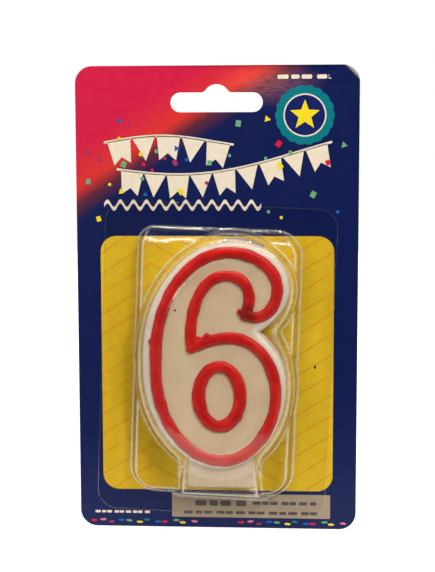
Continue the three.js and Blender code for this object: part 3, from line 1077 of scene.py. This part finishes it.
def piped(line, width, height, seed, closed=False):
    """A bead of wax along a line: its width and height waver, and its open ends are round."""
    middle, along = resampled(line, 0.5)
    stamp = np.column_stack([along, np.zeros(len(along))])
    waver = 1 + 0.045 * wobble(stamp, 7, seed) + 0.025 * wobble(stamp, 2.5, seed + 1)
    rise = 1 + 0.06 * wobble(stamp, 9, seed + 2)
    end = np.ones(len(along))
    if not closed:
        nearest = np.minimum(along, along[-1] - along)
        end = np.sqrt(np.clip(1 - (1 - np.clip(nearest / (width / 2), 0.02, 1)) ** 2, 0, 1))
    middle = np.column_stack([middle, np.full(len(middle), BEAD_LEVEL)])
    return tube(middle, width / 2 * waver * end, height * rise * end, BEAD_SIDES, BEAD_SUNK)


def lump(x, y, across, high):
    """A round blob of wax, as one more tube: a very short one."""
    along = np.linspace(-0.98, 0.98, 13)
    size = np.sqrt(1 - along**2)
    middle = np.column_stack([x + along * across, np.full(len(along), y), np.full(len(along), BEAD_LEVEL)])
    return tube(middle, across * size, high * size, BEAD_SIDES, BEAD_SUNK)


def melted(name, bodies, material):
    """The bodies run together into one smooth skin, as soft wax does."""
    voxel = 0.24
    made = make_object(name, *joined(bodies), [material])
    remesh = made.modifiers.new("melt", "REMESH")
    remesh.mode = "VOXEL"
    remesh.voxel_size = voxel * MM
    smooth = made.modifiers.new("smooth", "SMOOTH")
    smooth.factor = 0.5
    smooth.iterations = 3
    settle(made)
    made.data.shade_smooth()
    return made


def mark_thick(bead, place, reach, strength):
    """Marks a round place on a bead where the wax stands thick and looks darker."""
    spots = np.array([(v.co.x, v.co.z) for v in bead.data.vertices]) / MM
    near = 1 - np.linalg.norm(spots - place, axis=1) / reach
    store(bead, "thick", np.clip(near * 2 * strength, 0, strength))


def build_outline_bead(material):
    """The red line inside the numeral's edge, which doubles back inside the hook."""
    tip, corner = (10.2, 54.8), (-8.3, 42.8)
    outer = Path(tip).curve((15, 51.6), (21.2, 55.6), (21.3, 63.4))
    outer.quarter((4.6, 76), False).quarter((-20.6, 40), True).line((-20.6, 34.5))
    outer.quarter((2.3, 3.3), False).quarter((20.9, 26.5), True, FULL)
    outer.curve((20.9, 38.2), (13.6, 46.5), (5, 46.5)).curve((0.5, 46.5), (-4, 45.2), corner)
    inner = Path(corner).curve((-9.4, 53), (-6.2, 68), (3.8, 68)).curve((11.2, 68), (13.6, 61), tip)
    up = np.array([0, BASE])
    bodies = [
        piped(outer.array() + up, width=4.2, height=1.35, seed=5),
        piped(inner.array() + up, width=4.0, height=1.3, seed=9),
    ]
    # Each lump's place, half its width, and its height.
    lumps = [
        (tip[0] + 0.5, tip[1] - 0.1, 2.5, 1.6),
        (tip[0] - 1.6, tip[1] + 0.8, 1.2, 1.2),
        (corner[0], corner[1], 1.9, 1.35),
        (-2.9, 47.2, 1.1, 1.2),
        (-5.6, 46.4, 0.8, 0.8),
        (-21.6, 45.0, 1.6, 1.2),
    ]
    bodies += [lump(x, y + BASE, across, high) for x, y, across, high in lumps]
    bead = melted("red_outline", bodies, material)
    mark_thick(bead, (tip[0] + 1.0, tip[1] + BASE), 4.4, 0.9)
    belongs(bead, "candle", "red_wax", "outline_bead")


def build_counter_bead(material):
    """The ring in the bowl, with a thicker place low on its right where the piping met itself."""
    x, y, across, high = 1.4, BASE + 26, 7.2, 10.5
    angles = np.linspace(0, 2 * math.pi, 140)
    line = np.stack([x + across * np.cos(angles), y + high * np.sin(angles)], 1)
    turn = math.radians(-38)
    seam = (x + (across + 0.5) * math.cos(turn), y + (high + 0.5) * math.sin(turn))
    bodies = [piped(line, width=4.5, height=1.35, seed=15, closed=True), lump(*seam, 2.1, 1.35)]
    bead = melted("red_counter", bodies, material)
    mark_thick(bead, seam, 1.8, 0.15)
    belongs(bead, "candle", "red_wax", "counter_bead")


# ---- Wick ----

WICK_X = 2.0
WICK_BORE = 9.0  # the bore's depth
WICK_AWAY = (WICK_X - CROWN[0]) / (BACK[0] - CROWN[0])
WICK_RIM = BACK[1] + (CROWN[1] - BACK[1]) * math.sqrt(1 - WICK_AWAY**2)  # the bore's mouth
WICK_PIVOT = WICK_RIM - 0.4
WICK_LYING = 0.95  # how far the lying end's middle is off the numeral


def wick_line():
    """The wick's middle: up out of its bore, then over and along the numeral's right shoulder."""
    points = [(WICK_X, WICK_RIM - WICK_BORE + 1), (WICK_X, WICK_PIVOT - 2), (WICK_X, WICK_PIVOT - 0.4)]
    points += [(WICK_X + 0.4, WICK_PIVOT + 0.6), (WICK_X + 1.4, WICK_PIVOT + 1.3)]
    for degrees in range(90, 56, -3):
        turn = math.radians(degrees)
        x = CROWN[0] + (HOOK[0] - CROWN[0] + WICK_LYING) * math.cos(turn)
        points.append((x, HOOK[1] + (CROWN[1] - HOOK[1] + WICK_LYING) * math.sin(turn)))
    return resampled(np.array(points) + (0, BASE), 0.12)


def build_wick(material):
    """Three strands plaited round the wick's middle, which bend at the mouth of the bore."""
    middle, along = wick_line()
    across = sideways(middle)
    depth = CANDLE_BACK + WAX / 2
    strand, sway, weave, pitch = 0.3, 0.36, 0.22, 2.8
    bodies = []
    for k in range(3):
        phase = 2 * math.pi * (along / pitch + k / 3)
        side, out = sway * np.sin(phase), weave * np.sin(2 * phase)
        line = np.column_stack([middle + across * side[:, None], depth + out])
        size = np.full(len(line), strand) * np.clip((along[-1] - along) / 0.3, 0.3, 1)
        bodies.append(tube(line, size, size, 8))
    wick = make_object("plaited_wick", *joined(bodies), [material])
    shade(wick, 60)
    pivot = upright([(WICK_X, BASE + WICK_PIVOT, depth)])[0]
    start, end = pivot + np.array([-0.6, 0, -0.9]) * MM, pivot + np.array([0.7, 0, 0.5]) * MM
    tuple(start)
    tuple(end)
    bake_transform(wick)
    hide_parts("wick_core", "wick_tip")


# ---- Stage, light and camera ----


def build_floor():
    """A pale table top. It ends a little in front of the card, as the cover's reflection shows.

    Its glow makes it white to look at, and does not light the card from below.
    """
    material, tree, shader, place = new_material("floor")
    tone = ramp(tree, noise(tree, place, 0.004, 3), [(0.3, grey(0.46)), (0.7, grey(0.5))])
    connect(tree, shader, colour=tone)
    shader.inputs["Roughness"].default_value = 0.8
    far = vector_node(tree, "LENGTH", place, output="Value")
    glow = spread(tree, far, 0.15, 0.5, 0.75, 1.0)
    not_as_light = math_node(tree, "SUBTRACT", 1.0, node(tree, "LightPath").outputs["Is Diffuse Ray"])
    glow = times(tree, glow, not_as_light)
    shader.inputs["Emission Color"].default_value = (1, 1, 1, 1)
    tree.links.new(glow, shader.inputs["Emission Strength"])
    side, behind, ahead = 900, -1200, 72
    low = CARD_BOTTOM - 0.2
    corners = [(-side, low, behind), (-side, low, ahead), (side, low, ahead), (side, low, behind)]
    floor = make_object("floor", corners, [(0, 1, 2, 3)], [material])


def set_world():
    """White to look at. As light, it is dim in front of the card and brighter at its sides."""
    world = bpy.data.worlds.new("studio")
    bpy.context.scene.world = world
    world.use_nodes = True
    tree = world.node_tree
    direction = node(tree, "TexCoord").outputs["Generated"]
    split = node(tree, "SeparateXYZ", {0: direction})
    ahead = spread(tree, split.outputs[1], -0.85, -0.2, 0.05, 0.75)
    looked_at = node(tree, "LightPath").outputs["Is Camera Ray"]
    strength = node(tree, "Mix", {0: looked_at, 2: ahead, 3: 1.0}).outputs[0]
    back = tree.nodes["Background"]
    back.inputs["Color"].default_value = (1, 1, 1, 1)
    tree.links.new(strength, back.inputs["Strength"])


def area_light(name, place, target, size, power, colour, reflected=True):
    data = bpy.data.lights.new(name, "AREA")
    data.shape = "RECTANGLE"
    data.size, data.size_y = size
    data.energy = power
    data.color = colour
    light = bpy.data.objects.new(name, data)
    light.location = place
    light.rotation_euler = (Vector(target) - Vector(place)).to_track_quat("-Z", "Y").to_euler()
    light.visible_glossy = reflected
    bpy.context.scene.collection.objects.link(light)


def set_lights():
    middle = (0, 0, (CARD_TOP + CARD_BOTTOM) / 2 * MM)
    warm = (1, 0.95, 0.87)
    area_light("key", (0.34, -0.5, 0.4), middle, (0.2, 0.2), 3.3, warm, reflected=False)
    area_light("fill", (-0.5, -0.55, 0.12), middle, (0.4, 0.4), 2.0, warm, reflected=False)
    area_light("spark_right", (0.34, -0.5, 0.4), middle, (0.06, 0.06), 1.1, warm)
    area_light("spark_left", (-0.24, -0.6, -0.03), middle, (0.04, 0.03), 0.12, warm)
    area_light("top", (-0.01, -0.12, 0.42), middle, (0.2, 0.02), 1.3, warm)


def set_camera():
    azimuth, elevation, roll = map(math.radians, (3.494, 6.3, -0.133))
    away = 440 * MM
    target = Vector((0.2, 0, (CARD_TOP + CARD_BOTTOM) / 2 + 5.3)) * MM
    level = math.cos(elevation)
    back = Vector((math.sin(azimuth) * level, -math.cos(azimuth) * level, math.sin(elevation)))
    data = bpy.data.cameras.new("camera")
    data.sensor_width = 36
    data.lens = 78.9
    data.clip_start, data.clip_end = 0.01, 20
    camera = bpy.data.objects.new("camera", data)
    camera.rotation_mode = "QUATERNION"
    camera.location = target + back * away
    camera.rotation_quaternion = (-back).to_track_quat("-Z", "Y") @ Quaternion((0, 0, 1), roll)
    bpy.context.scene.collection.objects.link(camera)
    bpy.context.scene.camera = camera


# ---- Assembly ----

INKS = {
    "cream": rgb(222, 210, 190),
    "parchment": rgb(160, 144, 122),
    "grey": rgb(84, 78, 84),
    "soot": rgb(30, 24, 18),
    "navy": rgb(22, 34, 92),
    "teal": rgb(10, 112, 124),
    "blue": rgb(20, 96, 176),
    "green": rgb(100, 158, 118),
    "yellow": rgb(228, 206, 40),
    "red": rgb(206, 30, 60),
    "pink": rgb(214, 120, 140),
    "magenta": rgb(150, 50, 100),
}

bpy.context.scene.view_settings.view_transform = "Standard"
set_camera()
set_world()
set_lights()
build_floor()

build_card(
    card_face_material(),
    board_material("board_core", rgb(226, 222, 212), 0.8),
    board_material("board_back", rgb(196, 190, 178), 0.75),
)
inks = {name: ink_material("ink_" + name, colour) for name, colour in INKS.items()}
print_panels(inks)
print_bunting(inks)
print_rosette(inks)
print_confetti(inks)
build_candle(white_wax_material())
build_fleck(inks["soot"])
red_wax = red_wax_material()
build_outline_bead(red_wax)
build_counter_bead(red_wax)
build_wick(cotton_material())
build_cover(clear_sheet_material())
